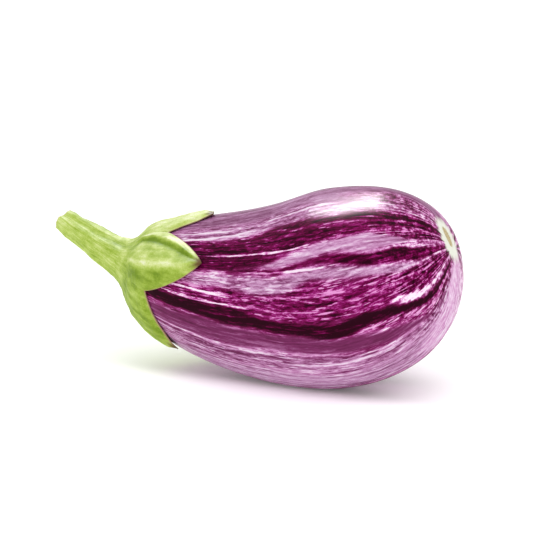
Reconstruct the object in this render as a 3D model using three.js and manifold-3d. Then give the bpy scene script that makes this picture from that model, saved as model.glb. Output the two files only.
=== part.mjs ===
// A striped eggplant lying on its side: the fruit, its green calyx and the cut stem.
//
// Millimetres, +Z up. The origin is the middle of the small flat spot that the fruit
// rests on. +X runs towards the blossom end, and the stem points towards -X.
//
// Every piece is first made straight, as a lathe around a spine, and its vertices are
// then carried onto the bent spine. A place on a piece is given by s, the distance along
// the spine from the stem end of the fruit, r, the distance from the spine, and phi, the
// angle around it: 0 is up, and 90 degrees is towards +Y.
import * as THREE from 'three';
import { mergeVertices } from 'three/addons/utils/BufferGeometryUtils.js';
import Module from 'manifold-3d';

const wasm = await Module();
wasm.setup();

// ---------------------------------------------------------------- driving dimensions
const gap = 0.3;               // between pieces that touch

const fruitRadius = 44.8;      // of the swollen body, before its end caps round it off
const neckShare = 0.67;        // radius of the shoulders, as a share of fruitRadius
const swellStart = 0.017;      // where the neck starts to swell, as a share of the length
const swellEnd = 0.718;        // where the body has its full radius
const stemEndBluntness = 4.65;
const blossomEndBluntness = 3.18;
const endRoundness = 1.97;     // power of both end caps: 2 would be an ellipse

const restDepth = 0.8;         // how much of the round belly the flat spot takes off
const stemEnd = new THREE.Vector3(-85.7, 0, 47.6 - restDepth);
const shoulderLength = 28;     // the first stretch of the spine
const bodyLength = 130;        // the second one, measured straight
const stemEndPitch = -18;      // degrees above the horizontal, looking towards +X
const neckPitch = -6.1;
const bodyPitch = 11.55;
const blossomPitch = 18.4;
const neckHandle = 0.596;      // shares of bodyLength that the bend is spread over
const blossomHandle = 0.286;

const calyxThickness = 1.5;    // at the rim of the sepals
const crownThickness = 2.4;    // near the stem
const collarRadius = 9.5;      // the flat top of the crown, which the stem stands on
const collarHeight = 6.5;      // above the end of the fruit
const crownRadius = 24;        // where the crown has sunk to the plain thickness
// Each sepal runs from one cleft to the next, and its tip leans one way or the other.
// Angles are degrees, and lengths run along the skin from the stem end of the fruit.
const clefts = [
  { phi: 40, length: 36 },
  { phi: 120, length: 36 },
  { phi: 195, length: 37 },
  { phi: 270, length: 38.5 },
  { phi: 330, length: 36 },
];
const tips = [
  { phi: 80, length: 60 },
  { phi: 155, length: 56 },
  { phi: 215, length: 53 },
  { phi: 300, length: 64.5 },
  { phi: 350, length: 54 },
];
const sepalFullness = 0.75;    // 1 would be a straight-sided triangle

const cutEnd = new THREE.Vector3(-39.7, 0, 16.8).add(stemEnd);
const cutPitch = -20;          // the way the stem runs at its cut end
const cutRadius = 4.8;
const stemRadius = 6.3;        // halfway along
const stemRibs = 5;
const stemRibDepth = 0.45;

const fruitSides = 52;
const fruitRings = 40;
const calyxSides = 72;
const calyxRings = 13;
const stemSides = 30;
const stemRings = 12;

// ---------------------------------------------------------------- the spine
// A unit vector in the plane y = 0, pitched up from +X by the given degrees.
function pitched(degrees) {
  const angle = THREE.MathUtils.degToRad(degrees);
  return new THREE.Vector3(Math.cos(angle), 0, Math.sin(angle));
}

// A smooth stretch of spine between two points, leaving and arriving at given pitches.
function stretch(from, fromPitch, fromHandle, to, toPitch, toHandle) {
  return new THREE.CubicBezierCurve3(
    from,
    from.clone().addScaledVector(pitched(fromPitch), fromHandle),
    to.clone().addScaledVector(pitched(toPitch), -toHandle),
    to,
  );
}

const neck = stemEnd.clone()
  .addScaledVector(pitched((stemEndPitch + neckPitch) / 2), shoulderLength);
const blossomEnd = neck.clone().addScaledVector(pitched(bodyPitch), bodyLength);
const spine = new THREE.CurvePath();
spine.add(stretch(stemEnd, stemEndPitch, shoulderLength / 3,
  neck, neckPitch, shoulderLength / 3));
spine.add(stretch(neck, neckPitch, neckHandle * bodyLength,
  blossomEnd, blossomPitch, blossomHandle * bodyLength));

// The point at (s, r, phi) around a curve that is length long. Before its start, the
// curve goes on straight.
function around(curve, length, s, r, phi) {
  const share = THREE.MathUtils.clamp(s / length, 0, 1);
  const centre = curve.getPointAt(share);
  const along = curve.getTangentAt(share);
  const up = new THREE.Vector3(-along.z, 0, along.x);
  return centre
    .addScaledVector(along, Math.min(s, 0))
    .addScaledVector(up, r * Math.cos(phi))
    .add(new THREE.Vector3(0, r * Math.sin(phi), 0));
}

// ---------------------------------------------------------------- closed meshes
// Joins vertices that lie on each other and drops the flat triangles at the poles.
function weld(geometry) {
  geometry.deleteAttribute('normal');
  geometry.deleteAttribute('uv');
  const welded = mergeVertices(geometry, 1e-3);
  const old = welded.index.array;
  const kept = [];
  for (let i = 0; i < old.length; i += 3) {
    const [a, b, c] = [old[i], old[i + 1], old[i + 2]];
    if (a !== b && b !== c && c !== a) kept.push(a, b, c);
  }
  welded.setIndex(kept);
  return welded;
}

// Turns a profile around the Y axis and moves each of its vertices to where
// carry(x, y, phi) says, x and y being the point of the profile.
function turned(profile, sides, carry) {
  const geometry = new THREE.LatheGeometry(profile, sides);
  const position = geometry.attributes.position;
  for (let i = 0; i < position.count; i += 1) {
    const [x, y, z] = [position.getX(i), position.getY(i), position.getZ(i)];
    const point = carry(Math.hypot(x, z), y, Math.atan2(-x, z));
    position.setXYZ(i, point.x, point.y, point.z);
  }
  return weld(geometry);
}

function toSolid(geometry) {
  return new wasm.Manifold(new wasm.Mesh({
    numProp: 3,
    vertProperties: Float32Array.from(geometry.attributes.position.array),
    triVerts: Uint32Array.from(geometry.index.array),
  }));
}

function toGeometry(solid) {
  const mesh = solid.getMesh();
  const geometry = new THREE.BufferGeometry();
  geometry.setAttribute('position', new THREE.BufferAttribute(mesh.vertProperties, 3));
  geometry.setIndex(new THREE.BufferAttribute(mesh.triVerts, 1));
  return geometry;
}

// ---------------------------------------------------------------- the fruit
const fruitLength = spine.getLength();

// Radius of the fruit at a share u of its length: a neck that swells to the full
// radius, closed by a rounded cap at each end.
function fruitRadiusAt(u) {
  const swell = THREE.MathUtils.smoothstep(u, swellStart, swellEnd);
  const width = neckShare + (1 - neckShare) * swell;
  const fromMiddle = Math.abs(1 - 2 * u);
  const bluntness = u < 0.5 ? stemEndBluntness : blossomEndBluntness;
  const cap = Math.max(0, 1 - fromMiddle ** bluntness) ** (1 / endRoundness);
  return fruitRadius * width * cap;
}

// The skin's outline as (r, s) points, closer together towards both ends.
function skinOutline(count) {
  const points = [];
  for (let i = 0; i <= count; i += 1) {
    const u = (1 - Math.cos((Math.PI * i) / count)) / 2;
    const r = i === 0 || i === count ? 0 : fruitRadiusAt(u);
    points.push(new THREE.Vector2(r, u * fruitLength));
  }
  return points;
}

function makeFruit() {
  const whole = turned(skinOutline(fruitRings), fruitSides,
    (r, s, phi) => around(spine, fruitLength, s, r, phi));
  const below = new THREE.BoxGeometry(200, 200, 20);
  below.translate(0, 0, -10);
  return toGeometry(toSolid(whole).subtract(toSolid(weld(below))));
}

// ---------------------------------------------------------------- the calyx
// Distance along the skin from the stem end, up to each point of a fine outline.
const outline = skinOutline(400);
const skinLengths = [0];
for (let i = 1; i < outline.length; i += 1) {
  skinLengths.push(skinLengths[i - 1] + outline[i].distanceTo(outline[i - 1]));
}

// The point that lies lift above the skin, at a distance along it from the stem end.
function onSkin(distance, lift) {
  const i = Math.max(1, skinLengths.findIndex((length) => length >= distance));
  const share = (distance - skinLengths[i - 1]) / (skinLengths[i] - skinLengths[i - 1]);
  const point = outline[i - 1].clone().lerp(outline[i], share);
  const along = outline[i].clone().sub(outline[i - 1]).normalize();
  return point.add(new THREE.Vector2(along.y, -along.x).multiplyScalar(lift));
}

// How far the calyx reaches along the skin at an angle: a star of sepals.
function sepalReach(phi) {
  const angle = THREE.MathUtils.euclideanModulo(THREE.MathUtils.radToDeg(phi), 360);
  const last = clefts.length - 1;
  const i = clefts.findIndex((cleft, k) => angle >= cleft.phi
    && (k === last || angle < clefts[k + 1].phi));
  const [from, to] = [clefts.at(i), clefts[(i + 1) % clefts.length]];
  const tip = tips.at(i);
  const turn = (a, b) => THREE.MathUtils.euclideanModulo(b - a, 360);
  const beforeTip = turn(from.phi, angle) <= turn(from.phi, tip.phi);
  const cleft = beforeTip ? from : to;
  const share = beforeTip
    ? turn(from.phi, angle) / turn(from.phi, tip.phi)
    : turn(angle, to.phi) / turn(tip.phi, to.phi);
  return cleft.length + (tip.length - cleft.length) * share ** sepalFullness;
}

// A leathery cap with five sepals. Its profile runs out over the top of the crown and
// the sepals and back underneath, 0 to 1 being the way from the stem to the rim.
function makeCalyx() {
  const [top, underneath] = [0, 1];
  const profile = [];
  for (let i = 0; i <= calyxRings; i += 1) {
    profile.push(new THREE.Vector2(i / calyxRings, top));
  }
  for (let i = calyxRings; i >= 0; i -= 1) {
    profile.push(new THREE.Vector2(i / calyxRings, underneath));
  }
  return turned(profile, calyxSides, (share, layer, phi) => {
    // More rings lie near the stem, where the crown is steep.
    const distance = sepalReach(phi) * share ** 1.3;
    if (layer === underneath) {
      const under = onSkin(distance, gap);
      return around(spine, fruitLength, under.y, under.x, phi);
    }
    const thickness = THREE.MathUtils.lerp(crownThickness, calyxThickness, share);
    const over = onSkin(distance, gap + thickness);
    const rim = (over.x - collarRadius) / (crownRadius - collarRadius);
    const rise = (collarHeight + over.y) * (1 - THREE.MathUtils.clamp(rim, 0, 1)) ** 2;
    return around(spine, fruitLength, over.y - rise, over.x, phi);
  });
}

// ---------------------------------------------------------------- the stem
// It stands on the crown and narrows to its cut end, with low ribs running along it.
function makeStem() {
  const foot = stemEnd.clone()
    .addScaledVector(pitched(stemEndPitch), -(collarHeight + gap));
  const length = foot.distanceTo(cutEnd);
  const core = stretch(cutEnd, cutPitch, length / 3, foot, stemEndPitch, length / 3);
  const radiusAt = (u) => cutRadius + (stemRadius - cutRadius) * Math.min(1, 2 * u)
    + (collarRadius - stemRadius) * Math.max(0, 2 * u - 1) ** 2;
  const profile = [new THREE.Vector2(0, 0)];
  for (let i = 0; i <= stemRings; i += 1) {
    profile.push(new THREE.Vector2(radiusAt(i / stemRings), (length * i) / stemRings));
  }
  profile.push(new THREE.Vector2(0, length));
  return turned(profile, stemSides, (r, s, phi) => {
    const ribs = r > 0 ? stemRibDepth * Math.cos(stemRibs * phi) : 0;
    return around(core, length, s, r - stemRibDepth + ribs, phi);
  });
}

// ---------------------------------------------------------------- the eggplant
function piece(name, geometry, color, roughness) {
  const material = new THREE.MeshStandardMaterial({ color, roughness, metalness: 0 });
  const mesh = new THREE.Mesh(geometry, material);
  mesh.name = name;
  return mesh;
}

const eggplant = new THREE.Group();
eggplant.add(piece('fruit', makeFruit(), 0x8b3a75, 0.28));
eggplant.add(piece('calyx', makeCalyx(), 0x9ab24a, 0.6));
eggplant.add(piece('stem', makeStem(), 0xc3d87f, 0.6));

export default eggplant;
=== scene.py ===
# %% [markdown]
# # A striped eggplant, lying on its side
#
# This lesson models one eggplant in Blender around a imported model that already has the
# right sizes. It has three pieces: the glossy fruit with its streaked skin, the green
# leathery calyx that caps the shoulders, and the ribbed stem that was cut from the plant.
#
# All lengths are in metres. The fruit rests on z = 0, its blossom end points towards +X
# and its stem towards -X.

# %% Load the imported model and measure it
import math

import bpy
import numpy as np
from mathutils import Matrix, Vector, noise
from mathutils.geometry import interpolate_bezier


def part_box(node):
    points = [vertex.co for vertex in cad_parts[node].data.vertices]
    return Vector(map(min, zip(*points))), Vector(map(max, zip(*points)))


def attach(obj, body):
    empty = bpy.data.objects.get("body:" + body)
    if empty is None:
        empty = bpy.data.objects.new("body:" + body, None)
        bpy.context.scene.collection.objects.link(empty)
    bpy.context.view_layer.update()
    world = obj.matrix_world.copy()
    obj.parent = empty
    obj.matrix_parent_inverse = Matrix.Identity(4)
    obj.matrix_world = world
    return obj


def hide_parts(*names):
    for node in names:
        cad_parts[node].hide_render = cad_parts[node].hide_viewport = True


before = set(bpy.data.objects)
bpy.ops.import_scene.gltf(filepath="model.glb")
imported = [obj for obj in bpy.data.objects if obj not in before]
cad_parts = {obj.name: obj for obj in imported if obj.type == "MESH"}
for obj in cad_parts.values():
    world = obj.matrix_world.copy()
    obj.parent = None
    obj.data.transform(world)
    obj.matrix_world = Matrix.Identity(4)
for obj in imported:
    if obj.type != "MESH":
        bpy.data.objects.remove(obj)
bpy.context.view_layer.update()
MM = 0.001

for node in ("fruit", "calyx", "stem"):
    low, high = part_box(node)
    print(node, [round(v / MM) for v in high - low], "mm")

# %% [markdown]
# ## Small helpers
#
# An operator acts on everything that is selected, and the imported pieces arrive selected.
# So each new piece starts from an empty selection, and `only` makes one object the
# active one before it is edited. Where thousands of vertices have to follow a formula,
# `places` reads them all into one array and `move_to` writes them back. That is the same
# as dragging each one in edit mode, but it takes a moment instead of a week.

# %% Helpers for selecting a piece and editing it


def deselect_all():
    for thing in bpy.context.selected_objects:
        thing.select_set(False)


def only(thing):
    deselect_all()
    thing.select_set(True)
    bpy.context.view_layer.objects.active = thing


def edit(thing):
    only(thing)
    bpy.ops.object.mode_set(mode="EDIT")
    bpy.ops.mesh.select_all(action="SELECT")


def leave_edit():
    bpy.ops.object.mode_set(mode="OBJECT")


# %% Helpers for reading and moving the vertices of a piece


def places(thing):
    """The vertices of a mesh, as rows of x, y and z."""
    co = np.empty(len(thing.data.vertices) * 3)
    thing.data.vertices.foreach_get("co", co)
    return co.reshape(-1, 3)


def move_to(thing, co):
    thing.data.vertices.foreach_set("co", np.ascontiguousarray(co).ravel())
    thing.data.update()


def keep_on_mesh(thing, name, columns):
    """Stores up to three numbers for each vertex, which a material can read."""
    values = np.zeros((len(thing.data.vertices), 3))
    for i, column in enumerate(columns):
        values[:, i] = column
    attribute = thing.data.attributes.new(name, "FLOAT_VECTOR", "POINT")
    attribute.data.foreach_set("vector", values.ravel())


# %% Two soft shapes that many profiles are made of


def smooth(low, high, x):
    """0 below low, 1 above high, and a soft S between them."""
    t = np.clip((x - low) / (high - low), 0, 1)
    return t * t * (3 - 2 * t)


def bump(x, centre, width):
    """A soft hill, 1 high and about two widths wide."""
    return np.exp(-(((x - centre) / width) ** 2))


print("smooth and bump halfway:", smooth(0, 1, 0.5), round(float(bump(1, 0, 1)), 2))


# %% [markdown]
# ## The spine
#
# A fruit that hangs and swells isn't straight: its axis bends a little. It could be
# modelled bent from the start, but then nothing on it is round or level any more. It is
# far easier to model every piece straight and bend all of them afterwards along one
# curve, the way a Curve modifier does. The curve starts at the cut end of the stem,
# passes the place where the stem meets the fruit, and ends at the blossom end.

# %% Draw the spine as a Bezier curve
STEM_END = Vector((-85.7, 0, 46.8)) * MM  # where the stem meets the fruit
CUT_END = STEM_END + Vector((-39.7, 0, 16.8)) * MM
SHOULDER_LENGTH = 28 * MM
BODY_LENGTH = 130 * MM


def pitched(degrees):
    """A unit vector in the plane y = 0, pitched up from +X."""
    angle = math.radians(degrees)
    return Vector((math.cos(angle), 0, math.sin(angle)))


neck = STEM_END + SHOULDER_LENGTH * pitched(-12.05)
blossom_end = neck + BODY_LENGTH * pitched(11.55)
stem_third = (STEM_END - CUT_END).length / 3
shoulder_third = SHOULDER_LENGTH / 3
# Each knot: where it is, its pitch, and how far its handles reach back and ahead.
knots = [
    (CUT_END, -20, stem_third, stem_third),
    (STEM_END, -18, stem_third, shoulder_third),
    (neck, -6.1, shoulder_third, 0.596 * BODY_LENGTH),
    (blossom_end, 18.4, 0.286 * BODY_LENGTH, shoulder_third),
]

deselect_all()
bpy.ops.curve.primitive_bezier_curve_add(location=(0, 0, 0))
spine = bpy.context.active_object
spine.name = "spine"
spine.data.twist_mode = "Z_UP"
spine.data.resolution_u = 64
points = spine.data.splines[0].bezier_points
points.add(len(knots) - len(points))
for point, (place, pitch, back, ahead) in zip(points, knots):
    point.handle_left_type = point.handle_right_type = "FREE"
    point.co = place
    point.handle_left = place - back * pitched(pitch)
    point.handle_right = place + ahead * pitched(pitch)


def stretch_length(i):
    """Length of the spine between two neighbouring knots."""
    a, b = points[i], points[i + 1]
    steps = interpolate_bezier(a.co, a.handle_right, b.handle_left, b.co, 400)
    return sum((q - p).length for p, q in zip(steps, steps[1:]))


STEM_LENGTH = stretch_length(0)
FRUIT_LENGTH = stretch_length(1) + stretch_length(2)
print("stem", round(STEM_LENGTH / MM, 1), "fruit", round(FRUIT_LENGTH / MM, 1), "mm")


# %% Bending a straight piece along the spine


def bend(thing):
    """Bends a piece made straight along +X so that it follows the spine."""
    only(thing)
    modifier = thing.modifiers.new("bend", "CURVE")
    modifier.object = spine
    modifier.deform_axis = "POS_X"
    bpy.ops.object.modifier_apply(modifier=modifier.name)


# %% [markdown]
# ## The fruit
#
# The real fruit is a pear shape: slim shoulders that swell into a round belly. A sphere
# could be pulled into that shape, but its poles and its long sides would take much
# pushing. The fruit is round in section, so it is turned as on a lathe: one vertex is
# extruded again and again to draw the outline from the stem to the blossom end, and
# `spin` turns the outline around the X axis.

# %% Radius of the fruit along its length
FULL_RADIUS = 44.8 * MM
NECK_SHARE = 0.67
SWELL_START, SWELL_END = 0.017, 0.718
STEM_BLUNTNESS, BLOSSOM_BLUNTNESS = 4.65, 3.18
END_ROUNDNESS = 1.97


def fruit_radius(u):
    """Radius at a share u of the length: a swelling neck, closed by two rounded caps."""
    width = NECK_SHARE + (1 - NECK_SHARE) * smooth(SWELL_START, SWELL_END, u)
    bluntness = np.where(u < 0.5, STEM_BLUNTNESS, BLOSSOM_BLUNTNESS)
    cap = np.clip(1 - np.abs(1 - 2 * u) ** bluntness, 0, 1) ** (1 / END_ROUNDNESS)
    return FULL_RADIUS * width * cap


OUTLINE_STEPS = 190
FRUIT_SIDES = 300
MERGE_DISTANCE = 0.01 * MM
# The steps are closer together at both ends, where the outline curves most.
share = (1 - np.cos(np.linspace(0, math.pi, OUTLINE_STEPS + 1))) / 2
outline_r = fruit_radius(share)
outline_x = STEM_LENGTH + share * FRUIT_LENGTH
print("thickest", round(2 * outline_r.max() / MM, 1), "mm")

# %% Extrude the outline, vertex by vertex, and spin it
deselect_all()
bpy.ops.mesh.primitive_plane_add(size=MM, location=(outline_x[0], 0, 0))
fruit = bpy.context.active_object
fruit.name = "striped_fruit"
only(fruit)
bpy.ops.object.transform_apply(location=True, rotation=True, scale=True)
edit(fruit)
bpy.ops.mesh.merge(type="CENTER")
for step_x, step_r in zip(np.diff(outline_x), np.diff(outline_r)):
    move = {"value": (step_x, 0, step_r)}
    bpy.ops.mesh.extrude_region_move(TRANSFORM_OT_translate=move)
bpy.ops.mesh.select_all(action="SELECT")
bpy.ops.mesh.spin(
    steps=FRUIT_SIDES, angle=2 * math.pi, center=(0, 0, 0), axis=(1, 0, 0)
)
bpy.ops.mesh.select_all(action="SELECT")
bpy.ops.mesh.remove_doubles(threshold=MERGE_DISTANCE)
bpy.ops.mesh.normals_make_consistent(inside=False)
leave_edit()
print(fruit.name, len(fruit.data.vertices), "vertices")

# %% [markdown]
# ### Where the streaks run
#
# The streaks of the skin run from the stem to the blossom scar like lines of longitude.
# Bending the fruit would spoil the angle and the length that they follow, so both are
# written onto the vertices now, while the fruit is straight. Past the middle the lines
# drift down and away, and at the end they swing back and close on the scar, which isn't
# quite at the tip of the spine.

# %% Write the run of the streaks onto the fruit
# Share of the length, and y and z in mm of the middle that the lines run around. The
# middle moves more slowly than the fruit narrows, so that no line folds back on itself.
LINE_CENTRES = np.array([
    (0.00, 0.0, 0.0),
    (0.50, 0.0, 0.0),
    (0.60, 2.2, -2.2),
    (0.70, 5.0, -5.0),
    (0.80, 6.8, -6.8),
    (0.90, 7.2, -6.8),
    (0.94, 7.0, -6.0),
    (0.965, 6.4, -4.4),
    (0.985, 5.2, -2.2),
    (1.00, 3.6, 0.2),
])

straight = places(fruit)
x, y, z = straight.T
radius = np.hypot(y, z)
run = (x - STEM_LENGTH) / FRUIT_LENGTH
centre_y = np.interp(run, LINE_CENTRES[:, 0], LINE_CENTRES[:, 1]) * MM
centre_z = np.interp(run, LINE_CENTRES[:, 0], LINE_CENTRES[:, 2]) * MM
line_angle = np.arctan2(y - centre_y, z - centre_z)
keep_on_mesh(fruit, "streaks", [np.cos(line_angle), np.sin(line_angle), run])
print("streaks close at", LINE_CENTRES[-1, 1:], "mm from the axis")

# %% Write the distance from the scar onto the fruit
# y and z of the middle, and how wide it is for its height
SCAR, SCAR_WIDTH = np.array([1.5, 6.0]) * MM, 0.45
COLLAR, COLLAR_WIDTH = np.array([1.0, 5.0]) * MM, 0.62  # the pale skin around the scar
FAR = 99  # mm, stands for nowhere near
near_blossom = run > 0.8
from_scar = np.hypot((y - SCAR[0]) / SCAR_WIDTH, z - SCAR[1]) / MM
from_collar = np.hypot((y - COLLAR[0]) / COLLAR_WIDTH, z - COLLAR[1]) / MM
from_scar[~near_blossom] = FAR
from_collar[~near_blossom] = FAR
keep_on_mesh(fruit, "scar", [from_scar, from_collar, 0])
print("closest vertex is", round(float(from_scar.min()), 2), "mm from the middle of the scar")

# %% [markdown]
# ### Painting the bands
#
# A striped eggplant carries broad bands of dark violet between bands of pale lilac, and
# every band is broken by small flecks. Noise alone would make stripes too, but all alike.
# So the bands are painted first, as numbers on each vertex: how dark the skin is there,
# how strongly it is flecked, and how much painted sheen greys it: a painted reflection of
# the white room and floor, put into the colour. A band is a short list of places along the
# fruit, each with the angle of its middle and its half width. Each band is painted over the
# ones before it. The material breaks them into flecks later on.

# %% The bands
# Each band: darkness, flecks, painted sheen (a painted reflection), softness of its edges in
# degrees, and its path as (share of length, angle in degrees, half width in degrees). 0 is
# up, 270 is towards -Y.
BANDS = [
    # pale ground along the top, and the streaky lilac beside it: pale pigment with painted sheen of the
    # light from above
    (0.50, 0.25, 0.80, 6, [(0, 345, 14), (1, 347, 14)]),
    (0.60, 0.80, 0.30, 5, [(0.8, 340, 2), (0.9, 338, 8), (1, 338, 8)]),
    (0.38, 0.60, 0.60, 3, [(0, 326, 7), (0.4, 327, 7), (0.8, 327, 6), (0.9, 330, 4)]),
    # upper dark band, and its flecked lower edge
    (1.00, 0.80, 0.00, 2, [(0, 311, 6), (0.3, 311.5, 6.5), (0.46, 312.5, 8), (0.6, 312, 9),
        (0.71, 314.5, 7), (0.8, 313, 6.5), (0.87, 314.5, 6.3), (0.93, 315.5, 9), (1, 315, 9)]),
    (0.72, 1.00, 0.00, 2, [(0.72, 307, 1), (0.8, 307.5, 2), (0.88, 309, 3), (0.95, 307, 5), (1, 307, 5)]),
    # short dark band that starts under the calyx and thins out
    (1.06, 0.65, 0.00, 1.5, [(0, 300.5, 4.5), (0.3, 300.7, 4.3), (0.49, 301, 3.2),
        (0.6, 302.3, 1), (0.66, 303, 0)]),
    # pale spindle
    (0.31, 0.35, 0.70, 1.2, [(0.5, 299, 0), (0.6, 299.3, 1.8), (0.71, 301.6, 2.7), (0.8, 301.9, 3.2),
        (0.87, 301.6, 5), (0.93, 300.8, 2.5), (0.95, 300.5, 0)]),
    # thin dark stripe
    (1.00, 0.60, 0.00, 0.8, [(0.4, 295, 0.6), (0.6, 295.4, 1), (0.71, 297, 1.2), (0.79, 294.5, 2.4),
        (0.87, 291.5, 3), (0.93, 291.3, 5), (0.96, 287, 4.5), (1, 286, 4.5)]),
    # lower pale band
    (0.44, 0.65, 0.60, 1.5, [(0, 288, 3), (0.2, 288, 3), (0.38, 288.6, 4.2), (0.52, 286.8, 4.6)]),
    (0.30, 0.50, 0.75, 1.5, [(0.5, 286.8, 4.6), (0.6, 288, 4), (0.7, 290.5, 2.4),
        (0.79, 288.3, 2.5), (0.86, 285.2, 2.5), (0.92, 282.3, 2.7), (0.96, 281, 0)]),
    # pink and magenta streaks
    (0.80, 1.00, 0.00, 2, [(0, 279, 5), (0.38, 278, 6), (0.5, 275, 6.5), (0.6, 275, 8), (0.7, 277, 10),
        (0.78, 275, 9), (0.86, 273, 9), (0.92, 270, 9), (1, 269, 8)]),
    # darkest band
    (1.36, 0.60, 0.00, 1.5, [(0, 268, 4), (0.25, 268.2, 4.4), (0.32, 266.6, 5.6), (0.43, 266.4, 5.2),
        (0.52, 264.5, 3.8), (0.6, 262.7, 4.0), (0.69, 261.7, 4.6), (0.75, 261.3, 4.0),
        (0.8, 263, 3.5), (0.86, 260.5, 2.7), (0.94, 252, 2.7), (1, 249, 2)]),
    # white flecks near the end: a painted highlight, broken up by flecks
    (-0.15, 1.3, 0.0, 1.0, [(0.86, 265, 0), (0.89, 263.5, 1.8), (0.93, 260.5, 2.6), (0.96, 258.5, 1)]),
    # muted violet, greyed by a painted reflection of the floor
    (0.66, 0.20, 0.60, 1.5, [(0, 253, 7), (0.4, 253, 7), (0.5, 252, 6.2), (0.6, 253.2, 5.8),
        (0.7, 252.5, 5.2), (0.77, 251, 4.7), (0.82, 247, 4), (0.88, 244, 3), (0.93, 241, 0)]),
    (0.62, 1.20, 0.05, 1.5, [(0.76, 257.5, 0), (0.8, 257.5, 2.2), (0.86, 254, 3.5),
        (0.93, 246, 3.5), (1, 243, 5)]),
    # lilac with fine streaks, down to the underside, greyed by a painted reflection of the floor
    (0.50, 0.60, 0.66, 3, [(0, 237, 8), (0.5, 237, 7), (0.66, 238, 8), (0.8, 232, 9), (1, 230, 9)]),
    (0.36, 0.45, 0.78, 5, [(0, 218, 12), (1, 216, 12)]),
    (0.22, 0.45, 0.55, 6, [(0.84, 214, 5), (0.92, 212, 16), (1, 205, 30)]),
    # the side that lies below and behind
    (0.80, 0.80, 0.20, 3, [(0, 196, 5), (0.5, 194, 8), (0.78, 195, 6), (0.88, 195, 0)]),
    (0.30, 0.60, 0.50, 4, [(0, 180, 8), (1, 178, 8)]),
    (1.00, 0.60, 0.05, 2, [(0, 160, 6), (0.4, 159, 8), (0.8, 161, 9), (0.9, 160, 5),
        (0.96, 160, 0)]),
    (0.50, 0.95, 0.20, 3, [(0, 146, 6), (1, 146, 6)]),
    (0.20, 0.40, 0.65, 2, [(0, 134, 5), (0.6, 133, 7), (1, 134, 4)]),
    (1.15, 0.50, 0.00, 2, [(0, 119, 5), (0.5, 118, 8), (0.8, 119, 8), (1, 120, 5)]),
    (0.75, 0.95, 0.10, 2, [(0, 106, 5), (0.6, 107, 4), (1, 108, 5)]),
    (0.22, 0.45, 0.70, 2, [(0, 94, 5), (0.4, 95, 7), (0.8, 96, 8), (1, 95, 4)]),
    (1.05, 0.55, 0.00, 2, [(0, 78, 6), (0.5, 79, 8), (0.8, 80, 7), (1, 79, 6)]),
    (0.55, 0.95, 0.20, 3, [(0, 66, 5), (1, 65, 6)]),
    (0.25, 0.45, 0.65, 2, [(0, 54, 5), (0.6, 53, 6), (1, 54, 4)]),
    (1.00, 0.60, 0.00, 2, [(0, 40, 5), (0.4, 41, 6), (0.8, 39, 8), (1, 40, 6)]),
    (0.60, 0.90, 0.20, 3, [(0, 27, 5), (0.6, 26, 5), (1, 26, 6)]),
    (0.32, 0.50, 0.55, 5, [(0, 10, 9), (1, 10, 9)]),
]

# %% Paint the bands onto the fruit
degrees_round = np.degrees(line_angle) % 360
# The edges of a real band wander, so every place is read a little to one side.
sway = (
    0.9 * np.sin(9 * run + 3 * line_angle + 0.5)
    + 0.6 * np.sin(21 * run - 5 * line_angle + 2.1)
    + 0.35 * np.sin(43 * run + 9 * line_angle)
)
GROUND = (0.4, 0.6, 0.3)  # darkness, flecks and painted sheen between the bands
paint = np.tile(GROUND, (len(run), 1))
for darkness, flecks, painted_sheen, softness, path in BANDS:
    path_run, path_angle, path_width = np.array(path, dtype=float).T
    middle = np.interp(run, path_run, path_angle)
    half_width = np.interp(run, path_run, path_width)
    off = np.abs((degrees_round + sway - middle + 180) % 360 - 180)
    strength = 1 - smooth(-softness, softness, off - half_width)
    strength *= smooth(-0.5, 1.0, half_width)
    strength *= smooth(path_run[0] - 0.04, path_run[0] + 0.01, run)
    strength *= 1 - smooth(path_run[-1] - 0.01, path_run[-1] + 0.04, run)
    paint += strength[:, None] * (np.array([darkness, flecks, painted_sheen]) - paint)
keep_on_mesh(fruit, "paint", paint.T)
print("darkness from", round(float(paint[:, 0].min()), 2), "to", round(float(paint[:, 0].max()), 2))

# %% [markdown]
# ### What makes it a grown thing
#
# Low ribs run along the fruit, the skin puckers into a shallow dimple around the scar,
# and the scar itself is a thin corky disc with a raised rim. A bump in the material
# could fake them, but the outline and the highlight would stay those of a perfect
# lathe. So they are small moves of the vertices, a millimetre or so at most.

# %% Ribs, dimple, puckers and the corky scar
ribs = 0.35 * np.cos(7 * line_angle + 0.6) + 0.22 * np.cos(12 * line_angle + 2.0)
ribs *= smooth(0.02, 0.2, run) * (1 - smooth(0.93, 0.99, run)) * (0.4 + 0.6 * run)
swell = 1 + ribs * MM / np.maximum(radius, 5 * MM)
straight[:, 1] *= swell
straight[:, 2] *= swell

ray = np.arctan2(y - SCAR[0], z - SCAR[1])
dimple = -1.1 * (1 - smooth(2, 16, from_collar))
pucker = 0.14 * np.cos(11 * ray + 0.8) * bump(from_collar, 9.5, 3.5)
corky_rim = 0.3 * bump(from_scar, 5.0, 0.6)
corky_disc = -0.3 * (1 - smooth(3.9, 4.8, from_scar))
straight[:, 0] += (dimple + pucker + corky_rim + corky_disc) * near_blossom * MM
move_to(fruit, straight)
print("ribs up to", round(float(np.abs(ribs).max()), 2), "mm high")

# %% [markdown]
# ### Bending it, and the spot it rests on
#
# The fruit is heavy and a little soft, so it stands on a small flat spot. Once it is
# bent, the few vertices that end up below z = 0 are scaled to zero height, which lays
# them all on the surface that the fruit rests on.

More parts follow.
